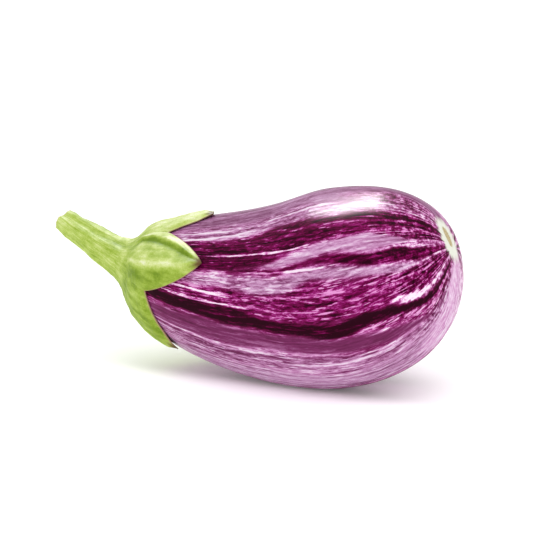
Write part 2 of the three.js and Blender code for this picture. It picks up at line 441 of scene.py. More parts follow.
# %% Bend it and press its flat spot
bend(fruit)
edit(fruit)
bpy.ops.mesh.select_all(action="DESELECT")
leave_edit()
below = places(fruit)[:, 2] < 0
fruit.data.vertices.foreach_set("select", below)
bpy.ops.object.mode_set(mode="EDIT")
bpy.ops.transform.resize(value=(1, 1, 0), center_override=(0, 0, 0))
leave_edit()
bpy.ops.object.shade_smooth()
bent = places(fruit)
print("flattened", int(below.sum()), "vertices; fruit from", bent.min(0) / MM, "to", bent.max(0) / MM)

# %% [markdown]
# ## The calyx and the stem
#
# On the plant the stem widens into a crown, and the crown splits into five pointed
# sepals that lie over the shoulders of the fruit. The two are made as one sheet, so that
# they flow into each other, and cut apart afterwards. Sepals drawn one by one would
# leave seams where they join. The sheet is a flat grid: one way it runs from the cut end
# of the stem to the tips of the sepals, the other way around. Rolling it up puts each
# vertex at its place on the straight fruit.

# %% Places on the skin, by their distance from the stem end
skin_share = (1 - np.cos(np.linspace(0, math.pi / 2, 1500))) / 2
skin_r = fruit_radius(skin_share)
skin_x = skin_share * FRUIT_LENGTH
skin_run = np.concatenate([[0], np.cumsum(np.hypot(np.diff(skin_r), np.diff(skin_x)))])
skin_turn_r = np.gradient(skin_x, skin_run)  # the outward normal of the outline
skin_turn_x = -np.gradient(skin_r, skin_run)


def over_skin(distance, lift):
    """x and r of points that lie lift above the skin."""
    r = np.interp(distance, skin_run, skin_r) + lift * np.interp(distance, skin_run, skin_turn_r)
    along = np.interp(distance, skin_run, skin_x) + lift * np.interp(distance, skin_run, skin_turn_x)
    return along, r


print("the skin is", round(skin_run[-1] / MM), "mm long from the stem to the middle")

# %% The five sepals: where each one starts, where its tip is, and how full it is
# Angles are degrees around the fruit, 0 up and 90 towards +Y; lengths are millimetres
# of skin from the stem end. curl is how far the tip lifts, cleft is the length at the
# sepal's end, where the next sepal starts.
SEPALS = [
    {"start": -30, "tip": -10, "end": 40, "reach": 58, "cleft": 36, "full": 1.15, "curl": 1.0},
    {"start": 40, "tip": 80, "end": 120, "reach": 60, "cleft": 36, "full": 1.25, "curl": 2.2},
    {"start": 120, "tip": 155, "end": 195, "reach": 56, "cleft": 37, "full": 1.1, "curl": 1.4},
    {"start": 195, "tip": 215, "end": 267, "reach": 50.5, "cleft": 34.8, "full": 0.95, "curl": 0.8},
    {"start": 267, "tip": 300, "end": 330, "reach": 66.5, "cleft": 36, "full": 1.2, "curl": 0.5},
]


def sepal_at(degrees):
    """For each angle: reach in mm, place across the sepal from -1 to 1, curl and number."""
    degrees = (degrees + 30) % 360 - 30
    reach, across, curl, number = np.zeros((4, len(degrees)))
    for i, leaf in enumerate(SEPALS):
        before = (degrees >= leaf["start"]) & (degrees <= leaf["tip"])
        here = (degrees >= leaf["start"]) & (degrees < leaf["end"])
        width = np.where(before, leaf["tip"] - leaf["start"], leaf["end"] - leaf["tip"])
        aside = np.abs(degrees - leaf["tip"]) / width
        cleft = np.where(before, SEPALS[i - 1]["cleft"], leaf["cleft"])
        full = 1 - np.clip(aside, 0, 1) ** leaf["full"]
        reach[here] = (cleft + (leaf["reach"] - cleft) * full)[here]
        across[here] = (np.where(before, -aside, aside))[here]
        curl[here] = leaf["curl"]
        number[here] = i
    return reach, across, curl, number


# %% Cut the flat sheet
STEM_ROWS, CROWN_ROWS, SEPAL_ROWS = 44, 20, 46
SHEET_SIDES = 360

rows = STEM_ROWS + CROWN_ROWS + SEPAL_ROWS
deselect_all()
bpy.ops.mesh.primitive_grid_add(
    x_subdivisions=rows, y_subdivisions=SHEET_SIDES, size=1, location=(0.5, 0.5, 0)
)
sheet = bpy.context.active_object
sheet.name = "green_sheet"
only(sheet)
bpy.ops.object.transform_apply(location=True, rotation=True, scale=True)
flat = places(sheet)
row = flat[:, 0] * rows
phi = flat[:, 1] * 2 * math.pi
print(sheet.name, len(flat), "vertices")

# %% [markdown]
# ### Rolling the sheet up
#
# The stem is about as thick as a finger, and a little heavier on its lower side. It was
# cut off at a slant. At its foot it flares into the crown in a hollow curve, which meets
# the skin of the fruit where the sepals begin. This step makes that smooth base shape;
# the ribs and folds follow.

# %% Sizes of the foot and the crown, in millimetres
FOOT = -7.5  # where the stem starts to flare, from the end of the fruit
FOOT_RADIUS = 9.7
FOOT_SAG = -1.1  # the middle of the foot lies this much off the spine
CROWN_REACH = 20.0  # skin that the crown covers before it is plain sepal
SHEET_LIFT = 1.9  # outer face of the sheet above the skin
FOOT_PULL, RIM_PULL = 11, 15  # how far the crown's curve runs straight at its two ends
print("the stem is", round(STEM_LENGTH / MM + FOOT, 1), "mm long above the crown")

# %% The hollow curve of the crown


def hollow_curve(c, start, start_pull, end, end_pull):
    """A Hermite curve: c goes from 0 to 1, and the pulls are the slopes at both ends."""
    return (
        (2 * c**3 - 3 * c**2 + 1) * start
        + (c**3 - 2 * c**2 + c) * start_pull
        + (-2 * c**3 + 3 * c**2) * end
        + (c**3 - c**2) * end_pull
    )


rim = np.array(over_skin(CROWN_REACH * MM, SHEET_LIFT * MM)) / MM
rim_slope = np.array(over_skin((CROWN_REACH + 1) * MM, SHEET_LIFT * MM)) / MM - rim


def crown_place(c):
    """x and r in mm of the crown, from the foot of the stem to the first row of sepals."""
    crown_x = hollow_curve(c, FOOT, FOOT_PULL, rim[0], RIM_PULL * rim_slope[0])
    crown_r = hollow_curve(c, FOOT_RADIUS, 0.2 * FOOT_PULL, rim[1], RIM_PULL * rim_slope[1])
    return crown_x, crown_r


print("the crown ends at x and r of", rim.round(1), "mm")

# %% The smooth base shape


def margin_drop(edge):
    """The sheet is thin at its margin and lies close to the skin there."""
    return -1.0 * (1 - smooth(0, 5, edge))


def sheet_place(row, phi):
    """Straight place in metres of a spot of the sheet, before ribs and folds."""
    reach, across, curl, number = sepal_at(np.degrees(phi))
    stem_share = np.clip(row / STEM_ROWS, 0, 1)
    crown_share = np.clip((row - STEM_ROWS) / CROWN_ROWS, 0, 1)
    sepal_share = np.clip((row - STEM_ROWS - CROWN_ROWS) / SEPAL_ROWS, 0, 1)

    stem_r = np.interp(stem_share, [0, 0.1, 0.5, 0.8, 1], [5.2, 5.7, 7.2, 8.3, FOOT_RADIUS])
    slant = 1.7 * np.cos(phi) + 0.4 * np.cos(3 * phi + 1)
    stem_length = STEM_LENGTH / MM + FOOT
    stem_x = -STEM_LENGTH / MM + stem_length * stem_share + slant * (1 - stem_share) ** 3
    stem_sag = np.interp(stem_share, [0, 0.2, 0.6, 1], [0.6, -0.2, -1.0, FOOT_SAG])

    rho = CROWN_REACH + (reach - CROWN_REACH) * sepal_share
    edge = reach - rho
    near_tip = smooth(0.8, 1.0, rho / reach) ** 1.5 * (1 - smooth(0.05, 0.4, np.abs(across)))
    lift = SHEET_LIFT + margin_drop(edge) + curl * near_tip
    leaf_x, leaf_r = over_skin(rho * MM, lift * MM)

    crown_x, crown_r = crown_place(crown_share)

    in_stem = row <= STEM_ROWS
    in_sepal = row > STEM_ROWS + CROWN_ROWS
    x = np.where(in_stem, stem_x, np.where(in_sepal, leaf_x / MM, crown_x))
    r = np.where(in_stem, stem_r, np.where(in_sepal, leaf_r / MM, crown_r))
    sag = np.where(in_stem, stem_sag, FOOT_SAG * (1 - smooth(0, 1, crown_share)))
    place = np.stack([STEM_LENGTH / MM + x, r * np.sin(phi), r * np.cos(phi) + sag], axis=1)
    past_foot = np.where(in_sepal, rho, crown_share * CROWN_REACH)
    distance = np.where(in_stem, stem_length * (stem_share - 1), past_foot)
    return place * MM, distance, reach, across, number


# %% Place every vertex, and find which way is outwards there
# Two small steps, one along the sheet and one around it, span its surface.
base, distance, reach, across, number = sheet_place(row, phi)
along_row = sheet_place(row + 0.05, phi)[0] - sheet_place(row - 0.05, phi)[0]
along_phi = sheet_place(row, phi + 0.002)[0] - sheet_place(row, phi - 0.002)[0]
outward = np.cross(along_phi, along_row)
outward /= np.maximum(np.linalg.norm(outward, axis=1, keepdims=True), 1e-12)
outward *= np.sign(np.sum(outward * base * [0, 1, 1], axis=1))[:, None]
print("sheet from", base.min(0).round(3), "to", base.max(0).round(3), "m")

# %% [markdown]
# ### Ribs and folds
#
# Each sepal has a midrib that carries on as a rib of the stem, and its blade is folded
# like a leaf. Sculpting by hand would do, but these folds follow simple rules, so they
# are written as heights in millimetres over the whole sheet, which are added along the
# outward direction at the end.

# %% Midribs, and the fold of four sepals
around = np.degrees(phi)
midrib = np.zeros_like(phi)
for leaf in SEPALS:
    twisted = leaf["tip"] + 0.35 * np.minimum(distance, 0)
    off = (around - twisted + 180) % 360 - 180
    midrib = np.maximum(midrib, bump(off, 0, 15))
stem_part = 1 - smooth(-8, 4, distance)
t = np.clip(distance, 0, None) / reach
sepal_part = smooth(8, 26, distance) * (1 - smooth(0.86, 1.0, t))
relief = stem_part * (0.9 * midrib - 0.45)
relief += (1 - stem_part) * (1 - smooth(16, 24, distance)) * (0.8 * midrib - 0.3)

FACING = 4  # the sepal that faces -Y
facing = number == FACING
folded = np.select([number == 0, number == 1, number == 2], [0.9, 1.2, 1.0], 0.8)
relief += np.where(facing, 0, folded * sepal_part * (1 - np.abs(across)) ** 0.8)
keel = np.where(facing, 0, 0.5 * bump(across, 0, 0.07)) * sepal_part
relief += keel
print("relief from", round(float(relief.min()), 2), "to", round(float(relief.max()), 2), "mm")

# %% [markdown]
# ### The sepal that is folded twice
#
# The sepal that faces -Y has a flat lower blade up to a sharp ridge, then a hollow, and
# above it a flap with a crest. Each of these lines runs from the crown to the tip, so it
# is given by its angle at a few distances. Between two lines the height changes evenly.

# %% Fold the sepal that faces -Y
hollow_at = np.interp(distance, [14, 28, 49, 60, 66], [322, 319, 309, 303, 300.8])
ridge_at = np.interp(distance, [10, 30, 58, 66], [291, 292.5, 296, 299])
low_edge = np.interp(distance, [0, 35, 66], [267, 267, 299])
high_edge = np.interp(distance, [0, 36, 66], [330, 330, 301])
crest_at = hollow_at + 0.4 * (high_edge - hollow_at)
fold = np.zeros_like(phi)
marks = [(low_edge, 0.0), (ridge_at, 2.3), (hollow_at, -0.2), (crest_at, 1.1), (high_edge, 0.0)]
for (below_at, below_height), (above_at, above_height) in zip(marks, marks[1:]):
    between = (around - below_at) / np.maximum(above_at - below_at, 0.1)
    inside = (between >= 0) & (between <= 1)
    fold = np.where(inside, below_height + (above_height - below_height) * between, fold)
before_tip = 1 - smooth(0.9, 1.0, t)
relief += np.where(facing, fold * smooth(9, 22, distance) * before_tip, 0)
print("folds from", round(float(fold.min()), 2), "to", round(float(fold.max()), 2), "mm")

# %% Painted light on the ridges and the upper flap, painted shade in the hollows and on the lower blades
painted_shade = bump(around, hollow_at, 3.2) * smooth(14, 24, distance) * (1 - smooth(0.93, 1.0, t))
painted_shade = np.where(facing, painted_shade, 0)
ridge_highlight = bump(around, ridge_at, 2.5) * smooth(12, 24, distance) * before_tip
painted_light = np.where(facing, ridge_highlight, keel)
lit_flap = np.where(facing, smooth(2, 6, around - hollow_at), 0) * smooth(14, 24, distance)
painted_light = np.maximum(painted_light, 1.2 * lit_flap)
# The lower blades face down, so they are given painted shade.
shaded_lower_blades = np.where(facing, smooth(3, 8, ridge_at - around), bump(around, 236, 40))
painted_shade = np.maximum(painted_shade, 0.35 * shaded_lower_blades * smooth(8, 20, distance))
print("vertices on a ridge:", int((painted_light > 0.5).sum()), "in a hollow:", int((painted_shade > 0.5).sum()))

# %% The upper sepal stands proud where it leaves the stem
TOP_SEPAL = 352  # degrees
off_top = (around - TOP_SEPAL + 180) % 360 - 180
relief += 2.1 * bump(off_top, 0, 34) * bump(distance, 18, 10)
# Painted light on the upper sepal, which faces up.
painted_light = np.maximum(painted_light, 1.2 * bump(off_top, 0, 30) * smooth(10, 24, distance))
print("relief now up to", round(float(relief.max()), 2), "mm")

# %% Small unevenness everywhere
DENTS, GRAIN = 160, 420  # noise cells in a metre
grain = np.array([
    noise.noise(Vector(place) * DENTS) + 0.6 * noise.noise(Vector(place) * GRAIN) for place in base
])
relief += 0.32 * grain * (1 - 0.6 * smooth(0.8, 1.0, t))
relief += 0.25 * np.sin(0.33 * distance + 3 * phi) * stem_part
rolled = base + outward * relief[:, None] * MM
print("the deepest dent is", round(float(relief.min()), 2), "mm")

# %% Write what the material reads, and roll the sheet up
FIBRE_UNIT = 100  # mm of length in one unit of the attribute
CUT_AT = float(distance.min())  # mm along the fibres where the stem was cut
edge = np.where(distance > CROWN_REACH, reach - distance, FAR)
keep_on_mesh(sheet, "leaf", [edge, np.abs(across), t])
keep_on_mesh(sheet, "fibres", [np.cos(phi), np.sin(phi), distance / FIBRE_UNIT])
# The painted light and the painted shade go to the material, with the paler midrib.
keep_on_mesh(sheet, "tone", [painted_light, painted_shade, midrib * (1 - smooth(4, 16, distance))])
keep_on_mesh(sheet, "row", [row, 0, 0])
move_to(sheet, rolled)
print("stem is cut at", round(CUT_AT, 1), "mm")

# %% Mark where the sheet is thin, and close its seam
thin_edge = sheet.vertex_groups.new(name="thin_edge")
for i, share_thick in enumerate(0.3 + 0.7 * smooth(0, 4, edge)):
    thin_edge.add([i], share_thick, "REPLACE")
edit(sheet)
bpy.ops.mesh.remove_doubles(threshold=MERGE_DISTANCE)
bpy.ops.mesh.normals_make_consistent(inside=False)
leave_edit()
print(sheet.name, "has", len(sheet.data.vertices), "vertices once its seam is closed")

# %% [markdown]
# ### Cutting stem and calyx apart
#
# The sheet is split along one row, where the stem meets the crown. The stem is solid, so
# both its ends are closed. The calyx is a leathery skin, so it gets its thickness from a
# Solidify modifier that grows inwards, towards the fruit. The modifier reads a vertex
# group, which thins the sepals out towards their margins.

# %% Split the sheet
row_of = np.empty(len(sheet.data.vertices) * 3)
sheet.data.attributes["row"].data.foreach_get("vector", row_of)
row_of = row_of.reshape(-1, 3)[:, 0].tolist()
faces_in_stem = [
    max(row_of[v] for v in face.vertices) <= STEM_ROWS + 0.5 for face in sheet.data.polygons
]
edit(sheet)
bpy.ops.mesh.select_all(action="DESELECT")
leave_edit()
sheet.data.polygons.foreach_set("select", faces_in_stem)
bpy.ops.object.mode_set(mode="EDIT")
bpy.ops.mesh.separate(type="SELECTED")
leave_edit()
stem = next(o for o in bpy.context.selected_objects if o is not sheet)
calyx = sheet
calyx.name = "green_calyx"
stem.name = "cut_stem"
for green in (calyx, stem):
    green.data.attributes.remove(green.data.attributes["row"])
print(calyx.name, len(calyx.data.polygons), stem.name, len(stem.data.polygons), "faces")

# %% Close the ends of the stem
edit(stem)
bpy.ops.mesh.select_all(action="DESELECT")
bpy.ops.mesh.select_non_manifold()
bpy.ops.mesh.edge_face_add()
bpy.ops.mesh.normals_make_consistent(inside=False)
leave_edit()
print(stem.name, "is closed, with", len(stem.data.polygons), "faces")

# %% Thicken the calyx
CALYX_THICKNESS = 1.5 * MM
only(calyx)
thick = calyx.modifiers.new("thickness", "SOLIDIFY")
thick.thickness = CALYX_THICKNESS
thick.offset = -1
thick.vertex_group = "thin_edge"
bpy.ops.object.modifier_apply(modifier=thick.name)
print(calyx.name, "is", round(CALYX_THICKNESS / MM, 1), "mm thick")

# %% Bend both along the spine
SHARPEST_SMOOTH_EDGE = math.radians(50)
for green in (calyx, stem):
    bend(green)
    only(green)
    bpy.ops.object.shade_smooth_by_angle(angle=SHARPEST_SMOOTH_EDGE)
    print(green.name, "reaches up to", round(places(green)[:, 2].max() / MM, 1), "mm")

bpy.data.objects.remove(spine)

# %% [markdown]
# ## Materials
#
# A material could be a painted image, but that would have one fixed resolution and a
# seam. Here every finish is a recipe of nodes that reads numbers from the mesh. A small
# class keeps such a recipe readable: each of its methods adds one node, wires what goes
# into it, and gives back what comes out.

# %% Helpers for node materials


class Finish:
    """A material whose nodes are added one by one and wired by name."""

    def __init__(self, name):
        self.material = bpy.data.materials.new(name)
        self.material.use_nodes = True
        self.tree = self.material.node_tree
        self.shader = self.tree.nodes["Principled BSDF"]

    def node(self, kind, inputs=None, **settings):
        made = self.tree.nodes.new(kind)
        for key, value in settings.items():
            setattr(made, key, value)
        for key, value in (inputs or {}).items():
            self.plug(made.inputs[key], value)
        return made

    def plug(self, socket, value):
        if isinstance(value, bpy.types.NodeSocket):
            self.tree.links.new(value, socket)
        else:
            socket.default_value = value

    def attribute(self, name):
        return self.node("ShaderNodeAttribute", attribute_name=name).outputs["Vector"]

    def split(self, vector):
        return self.node("ShaderNodeSeparateXYZ", {0: vector}).outputs

    def join(self, x, y, z):
        return self.node("ShaderNodeCombineXYZ", {0: x, 1: y, 2: z}).outputs[0]

    def math(self, operation, a, b=0.0, c=0.0, clamp=False):
        made = self.node("ShaderNodeMath", {0: a, 1: b, 2: c}, operation=operation)
        made.use_clamp = clamp
        return made.outputs[0]

    def noise(self, vector, scale=1.0, detail=2.0, rough=0.5, distortion=0.0):
        made = self.node(
            "ShaderNodeTexNoise",
            {"Vector": vector, "Scale": scale, "Detail": detail, "Roughness": rough},
        )
        made.inputs["Distortion"].default_value = distortion
        return made.outputs["Fac"]

    def ramp(self, fac, stops):
        made = self.node("ShaderNodeValToRGB", {"Fac": fac})
        band = made.color_ramp
        while len(band.elements) < len(stops):
            band.elements.new(0.5)
        for element, (position, colour) in zip(band.elements, stops):
            element.position = position
            element.color = opaque(colour)
        return made.outputs["Color"]

    def step(self, x, low, high):
        made = self.node("ShaderNodeMapRange", {0: x, 1: low, 2: high, 3: 0.0, 4: 1.0})
        made.interpolation_type = "SMOOTHSTEP"
        return made.outputs[0]

    def mix(self, fac, a, b):
        made = self.node("ShaderNodeMix", data_type="RGBA")
        self.plug(made.inputs["Factor"], fac)
        self.plug(made.inputs[6], a)
        self.plug(made.inputs[7], b)
        return made.outputs[2]


# %% Colours by how they look in this studio
STUDIO = 1.28  # how much brighter than its own colour a surface looks in this studio


def srgb(red, green, blue):
    """The colour that looks like this on a screen, 0 to 255, under the studio's light."""
    def linear(v):
        v /= 255
        return (v / 12.92 if v <= 0.04045 else ((v + 0.055) / 1.055) ** 2.4) / STUDIO

    return (linear(red), linear(green), linear(blue))


def opaque(colour):
    return (*colour, 1)


print("white becomes", [round(v, 2) for v in srgb(255, 255, 255)])

# %% [markdown]
# ### The striped skin
#
# The pigment of a striped eggplant lies in long, broken streaks that all run from the
# stem to the blossom scar. Each streak is noise that is drawn out along the fruit: it is
# sampled on a tall, thin cylinder made of the angle and the run on the mesh, so that it
# closes all the way round without a seam. Several such noises, from broad to fine, are
# added to the painted darkness, and one number comes out: 0 is bare skin, 1 is dark.

# %% Start the skin and read what is on the mesh
skin = Finish("striped_skin")
around_x, around_y, along = skin.split(skin.attribute("streaks"))
darkness, fleckiness, painted_sheen = skin.split(skin.attribute("paint"))
print(skin.material.name, "has", len(skin.tree.nodes), "nodes so far")

# %% Noise drawn out along the fruit


def streak(sides, length_share, detail, rough, offset, distortion=0.0):
    """About so many streaks around, each a share of the length long; -0.5 to 0.5."""
    ring = sides / (2 * math.pi)
    stretched = skin.join(
        skin.math("MULTIPLY_ADD", around_x, ring, offset),
        skin.math("MULTIPLY", around_y, ring),
        skin.math("MULTIPLY", along, 1 / length_share),
    )
    return skin.math("SUBTRACT", skin.noise(stretched, 1.0, detail, rough, distortion), 0.5)


# %% Broad streaks, lines and flecks
broad = streak(34, 0.5, 2, 0.5, 3.1)
lines = streak(130, 0.22, 3, 0.6, 11.7, 0.3)
flecks = streak(220, 0.034, 5, 0.75, 27.3, 0.6)
dashes = streak(250, 0.055, 2, 0.6, 41.9, 0.2)
value = skin.math("MULTIPLY_ADD", broad, 0.5, darkness)
calm = skin.math("MULTIPLY_ADD", painted_sheen, -1.0, 1.0)
calm = skin.math("MULTIPLY_ADD", skin.step(along, 0.82, 0.97), -0.35, calm, clamp=True)
value = skin.math("MULTIPLY_ADD", skin.math("MULTIPLY", lines, calm), 1.1, value)
broken = skin.math("MULTIPLY_ADD", lines, 0.5, flecks)
value = skin.math("MULTIPLY_ADD", skin.math("MULTIPLY", broken, fleckiness), 3.0, value)
print(len(skin.tree.nodes), "nodes so far")

# %% [markdown]
# ### Speckle, dashes and the palest pink
#
# Close to the scar the streaks break up into round speckle, so a noise that isn't drawn
# out fades in there. The dark bands carry short pale dashes as well. Where a dark band
# is broken it shows pink, never bare white, so the number is kept from falling too low.

# %% Speckle, dashes and the palest pink
on_object = skin.node("ShaderNodeTexCoord").outputs["Object"]
speckle = skin.math("SUBTRACT", skin.noise(on_object, 420, 4, 0.7), 0.5)
speckle = skin.math("MULTIPLY", speckle, skin.step(along, 0.8, 0.96))
speckle = skin.math("MULTIPLY", speckle, skin.step(fleckiness, 0.35, 0.7))
value = skin.math("MULTIPLY_ADD", speckle, 3.2, value)
pale_dash = skin.math("MULTIPLY", skin.step(dashes, 0.09, 0.17), fleckiness)
value = skin.math("MULTIPLY_ADD", pale_dash, -0.6, value)
pinkest = skin.math("MULTIPLY", skin.step(darkness, 0.45, 0.7), skin.step(fleckiness, 0.4, 0.6))
value = skin.math("MAXIMUM", value, skin.math("MULTIPLY", pinkest, 0.22))
print(len(skin.tree.nodes), "nodes so far")

# %% [markdown]
# ### Long pale threads
#
# Here and there a single pale thread runs on for a long way, where the skin stretched as
# the fruit grew. Noise doesn't give lines that long, so each thread is listed one by one. It
# wavers a little, breaks up, and fades in and out at its ends.

# %% Long pale threads in the skin
# Each thread: angle at its start and at its end in degrees, start and end as shares of
# the length, half width in degrees, and strength.
THREADS = [
    (306.0, 305.8, 0.20, 0.72, 0.6, 0.9),
    (319.0, 323.5, 0.18, 0.46, 0.9, 0.9),
    (327.5, 326.5, 0.16, 0.38, 0.9, 0.9),
    (331.0, 332.5, 0.48, 0.80, 0.8, 0.6),
    (293.8, 293.6, 0.50, 0.72, 0.7, 0.8),
    (282.0, 279.5, 0.20, 0.42, 1.1, 0.9),
    (275.5, 273.0, 0.16, 0.46, 0.8, 0.8),
    (246.5, 243.5, 0.14, 0.50, 0.8, 0.45),
    (237.0, 238.5, 0.55, 0.84, 0.9, 0.45),
    (228.0, 226.0, 0.30, 0.70, 0.8, 0.3),
    (100.0, 101.5, 0.20, 0.60, 0.8, 0.9),
    (127.0, 126.0, 0.35, 0.85, 0.8, 0.9),
    (70.5, 71.5, 0.25, 0.75, 0.8, 0.9),
    (34.0, 35.5, 0.20, 0.65, 0.8, 0.9),
]
wave = streak(20, 0.15, 2, 0.5, 55.0)
angle_now = skin.math("MULTIPLY", skin.math("ARCTAN2", around_y, around_x), 180 / math.pi)
angle_now = skin.math("MULTIPLY_ADD", wave, 4.0, angle_now)
thin = streak(60, 0.06, 2, 0.6, 71.0)
thread_sum = 0.0
for angle_start, angle_end, run_start, run_end, half_width, strength in THREADS:
    slope = (angle_end - angle_start) / (run_end - run_start)
    angle_zero = angle_start - slope * run_start - (360 if angle_start > 180 else 0)
    middle = skin.math("MULTIPLY_ADD", along, slope, angle_zero)
    off = skin.math("ABSOLUTE", skin.math("SUBTRACT", angle_now, middle))
    off = skin.math("MULTIPLY_ADD", thin, 3.0 * half_width, off)
    across_thread = skin.step(off, 1.5 * half_width, 0.4 * half_width)
    begun = skin.step(along, run_start - 0.03, run_start + 0.05)
    not_over = skin.step(along, run_end + 0.05, run_end - 0.08)
    thread = skin.math("MULTIPLY", across_thread, skin.math("MULTIPLY", begun, not_over))
    thread_sum = skin.math("MULTIPLY_ADD", thread, strength, thread_sum)
value = skin.math("MULTIPLY_ADD", thread_sum, -0.8, value)
print(len(THREADS), "threads")

# %% [markdown]
# ### Pigment and painted sheen
#
# Two colour ramps read the same number. One is the pigment itself, from nearly white
# over orchid pink to a purple that is almost black. The other is the same pigment, greyer
# and softer, the way reflected light from the white room and floor makes it look: a painted
# sheen. The painted sheen value mixes the two.

# %% Pigment and painted sheen
tint = skin.math("MULTIPLY", value, 0.8)
pigment = skin.ramp(tint, [
    (0.0, srgb(252, 232, 248)),
    (0.10, srgb(240, 184, 226)),
    (0.20, srgb(222, 136, 202)),
    (0.30, srgb(190, 84, 160)),
    (0.40, srgb(160, 40, 124)),
    (0.50, srgb(134, 16, 94)),
    (0.64, srgb(108, 4, 66)),
    (0.80, srgb(78, 0, 44)),
    (1.0, srgb(40, 0, 18)),
])
painted_sheen_colours = skin.ramp(tint, [
    (0.0, srgb(220, 198, 220)),
    (0.28, srgb(182, 146, 178)),
    (0.52, srgb(114, 62, 100)),
    (0.80, srgb(78, 32, 62)),
])
# Painted sheen: the grey of reflected room and floor light, mixed into the colour.
pigment = skin.mix(skin.math("MULTIPLY", painted_sheen, 0.9), pigment, painted_sheen_colours)
print(len(skin.tree.nodes), "nodes so far")

# %% [markdown]
# ### The collar, the cork and the gloss
#
# Around the blossom scar the skin never coloured, which leaves a pale collar with a
# frayed edge, and the scar itself is dry cork. Over all of it the skin is smooth, with a
# wax that reflects little, so only the brightest light shows on it.

# %% Collar, cork and gloss
scar_mm, collar_mm, _ = skin.split(skin.attribute("scar"))
collar_wave = streak(60, 0.02, 2, 0.5, 13.0)
collar = skin.step(skin.math("MULTIPLY_ADD", collar_wave, 7.0, collar_mm), 12.0, 7.5)
coloured = skin.mix(collar, pigment, opaque(srgb(228, 230, 216)))
cork_grain = skin.noise(on_object, 1800, 3, 0.6)
cork = skin.ramp(cork_grain, [(0.3, srgb(168, 150, 112)), (0.7, srgb(214, 200, 160))])
coloured = skin.mix(skin.step(scar_mm, 5.2, 4.4), coloured, cork)

skin.plug(skin.shader.inputs["Base Color"], coloured)
skin.shader.inputs["Roughness"].default_value = 0.25
skin.shader.inputs["Specular IOR Level"].default_value = 0.03
fruit.data.materials.clear()
fruit.data.materials.append(skin.material)
print(skin.material.name, "has", len(skin.tree.nodes), "nodes")

# %% [markdown]
# ### The green of calyx and stem
#
# Stem and calyx grew as one, so one recipe makes both: long fibres that run down the
# stem and out into the sepals, painted light on the ridges, painted shade in the hollows,
# fine grain, a thin tan margin and dry brown tips. One number again holds how light the
# green is, painted light and shade included, and a ramp turns it into colour. The same
# number feeds a slight bump, so that fibres can be felt.

# %% How light the green is


def green_tone(green):
    """How light it is, 0 to 1; its grain; and where the cracks and the cut face are."""
    painted_light_in, painted_shade_in, rib_in = green.split(green.attribute("tone"))
    ring_x, ring_y, down = green.split(green.attribute("fibres"))
    at = green.node("ShaderNodeTexCoord").outputs["Object"]

    def fibre(sides, length, offset):
        """Noise drawn out along the fibres: so many around, each length mm long."""
        ring = sides / (2 * math.pi)
        stretched = green.join(
            green.math("MULTIPLY_ADD", ring_x, ring, offset),
            green.math("MULTIPLY", ring_y, ring),
            green.math("MULTIPLY", down, FIBRE_UNIT / length),
        )
        return green.math("SUBTRACT", green.noise(stretched, 1.0, 3, 0.6), 0.5)

    patches = green.math("SUBTRACT", green.noise(at, 110, 3, 0.6), 0.5)
    grain = green.math("SUBTRACT", green.noise(at, 1500, 3, 0.7), 0.5)
    tone = green.math("MULTIPLY_ADD", patches, 0.9, 0.5)
    tone = green.math("MULTIPLY_ADD", fibre(64, 12, 5.0), 0.9, tone)
    tone = green.math("MULTIPLY_ADD", fibre(24, 30, 9.0), 0.6, tone)
    tone = green.math("MULTIPLY_ADD", grain, 0.5, tone)
    on_stem = green.step(down, 0.05, -0.06)
    tone = green.math("MULTIPLY_ADD", on_stem, 0.06, tone)
    tone = green.math("MULTIPLY_ADD", rib_in, 0.10, tone)
    # Painted light on the ridges and the upper flap, painted shade in the hollows and on the lower
    # blades.
    tone = green.math("MULTIPLY_ADD", painted_light_in, 0.30, tone)
    tone = green.math("MULTIPLY_ADD", painted_shade_in, -0.5, tone)
    cracks = green.step(fibre(44, 9, 21.0), 0.20, 0.27)
    cracks = green.math("MULTIPLY", cracks, green.step(down, 0.1, -0.02))
    cut_face = green.step(down, (CUT_AT + 0.4) / FIBRE_UNIT, (CUT_AT + 0.1) / FIBRE_UNIT)
    return tone, grain, cracks, cut_face


# %% The green finish


def green_finish(name):
    """Green by tone, then what differs: cracks, the cut face, margins and dry tips."""
    green = Finish(name)
    tone, grain, cracks, cut_face = green_tone(green)
    base = green.ramp(tone, [
        (0.08, srgb(112, 142, 26)),
        (0.3, srgb(142, 168, 52)),
        (0.5, srgb(166, 190, 78)),
        (0.7, srgb(196, 213, 118)),
        (0.88, srgb(220, 230, 160)),
        (1.0, srgb(236, 240, 200)),
    ])
    base = green.mix(green.math("MULTIPLY", cracks, 0.6), base, opaque(srgb(120, 122, 62)))
    edge_mm, aside, _ = green.split(green.attribute("leaf"))
    base = green.mix(green.step(edge_mm, 0.8, 0.2), base, opaque(srgb(176, 146, 112)))
    dry = green.math("MULTIPLY", green.step(edge_mm, 4.5, 1.2), green.step(aside, 0.16, 0.04))
    base = green.mix(dry, base, opaque(srgb(104, 80, 46)))
    pith = green.ramp(grain, [(0.0, srgb(196, 182, 128)), (0.12, srgb(222, 212, 166))])
    base = green.mix(cut_face, base, pith)
    green.plug(green.shader.inputs["Base Color"], base)
    rough = green.node("ShaderNodeBump", {"Strength": 0.35, "Distance": 0.0006, "Height": tone})
    green.plug(green.shader.inputs["Normal"], rough.outputs[0])
    green.shader.inputs["Roughness"].default_value = 0.55
    green.shader.inputs["Specular IOR Level"].default_value = 0.1
    return green.material


# %% Put the green on calyx and stem
for piece, name in [(calyx, "calyx_green"), (stem, "stem_green")]:
    piece.data.materials.clear()
    piece.data.materials.append(green_finish(name))
    print(piece.name, "has", piece.data.materials[0].name)

# %% [markdown]
# ## The studio
#
# The eggplant lies on a white table that has no visible edge. A plain white surface
# turns grey in the soft shade of the fruit, so the floor also glows a little, less under
# the fruit and more in front of it. That keeps the shadow close to where the fruit rests.

